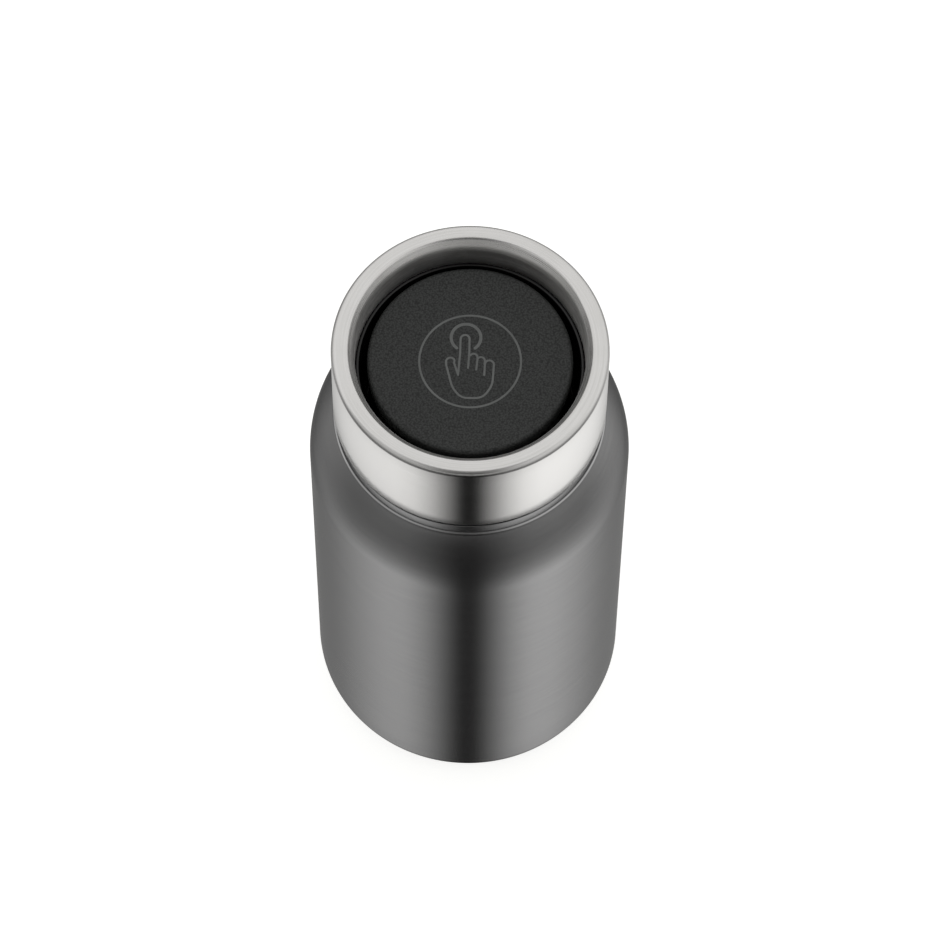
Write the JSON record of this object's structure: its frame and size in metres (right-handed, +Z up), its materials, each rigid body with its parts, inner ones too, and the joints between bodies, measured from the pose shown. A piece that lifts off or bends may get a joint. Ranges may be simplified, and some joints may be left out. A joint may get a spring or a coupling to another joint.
{
  "type": "vacuum flask",
  "caption": "Double-walled steel travel flask with a domed shoulder, brushed drinking collar and a screw-in lid whose push plate opens a valve all the way round.",
  "frame": {"origin": "centre of the foot ring, on the surface that the flask stands on", "axes": "+Z up along the flask's axis; -Y is the side that the lid's pictogram is read from"},
  "size_m": [0.072, 0.072, 0.1595],
  "materials": {
    "painted_steel": "anthracite metallic lacquer over brushed steel, satin",
    "brushed_steel": "fine brushing round the axis",
    "bare_steel": "electropolished, faint drawing lines",
    "lid_plastic": "glossy black moulded polypropylene",
    "plate_plastic": "black moulded polypropylene with a fine leather grain",
    "plain_plastic": "black moulded polypropylene, satin",
    "acetal": "natural moulded acetal, smooth",
    "silicone": "moulded dark grey silicone",
    "spring_steel": "drawn stainless wire",
    "solder_glass": "dull fired solder glass",
    "getter": "sintered grey pellet"
  },
  "bodies": {
    "flask": {"outer_shell": "painted_steel", "outer_bottom": "bare_steel", "base_cover": "bare_steel", "vacuum_seal_bead": "solder_glass", "getter_pellet": "getter", "getter_clip": "bare_steel", "inner_liner": "bare_steel", "liner_bottom": "bare_steel", "mouth_collar": "brushed_steel"},
    "neck_seal": {"neck_gasket": "silicone"},
    "lid": {"lid_body": "lid_plastic", "stem_oring": "silicone", "oring_retainer": "plain_plastic", "return_spring": "spring_steel"},
    "latch": {"latch_pin": "spring_steel"},
    "button": {"push_plate": "plate_plastic", "plunger": "acetal", "valve_stem": "bare_steel", "valve_disc": "plain_plastic", "valve_seal": "silicone", "valve_nut": "plain_plastic"}
  },
  "joints": [
    {"name": "lid_rise", "type": "slide", "parent": "flask", "child": "neck_seal", "axis": [0, 0, 1], "range_m": [0, 0.044]},
    {"name": "lid_turn", "type": "hinge", "parent": "neck_seal", "child": "lid", "pos_m": [0, 0, 0.14], "axis": [0, 0, 1], "range_deg": [0, 1320.1]},
    {"name": "button_press", "type": "slide", "parent": "lid", "child": "button", "axis": [0, 0, -1], "range_m": [0, 0.005], "stiffness_N_per_m": 800, "springref_m": -0.004, "deforming": ["return_spring"]},
    {"name": "latch_swing", "type": "hinge", "parent": "lid", "child": "latch", "pos_m": [0, -0.0079, 0.1324], "axis": [0, 1, 0], "range_deg": [0, 18.01]}
  ],
  "couplings": [
    {"joint": "lid_turn", "follows": "lid_rise", "rad_per_m": 523.6},
    {"joint": "latch_swing", "follows": "button_press", "rad_per_m": 62.832}
  ]
}
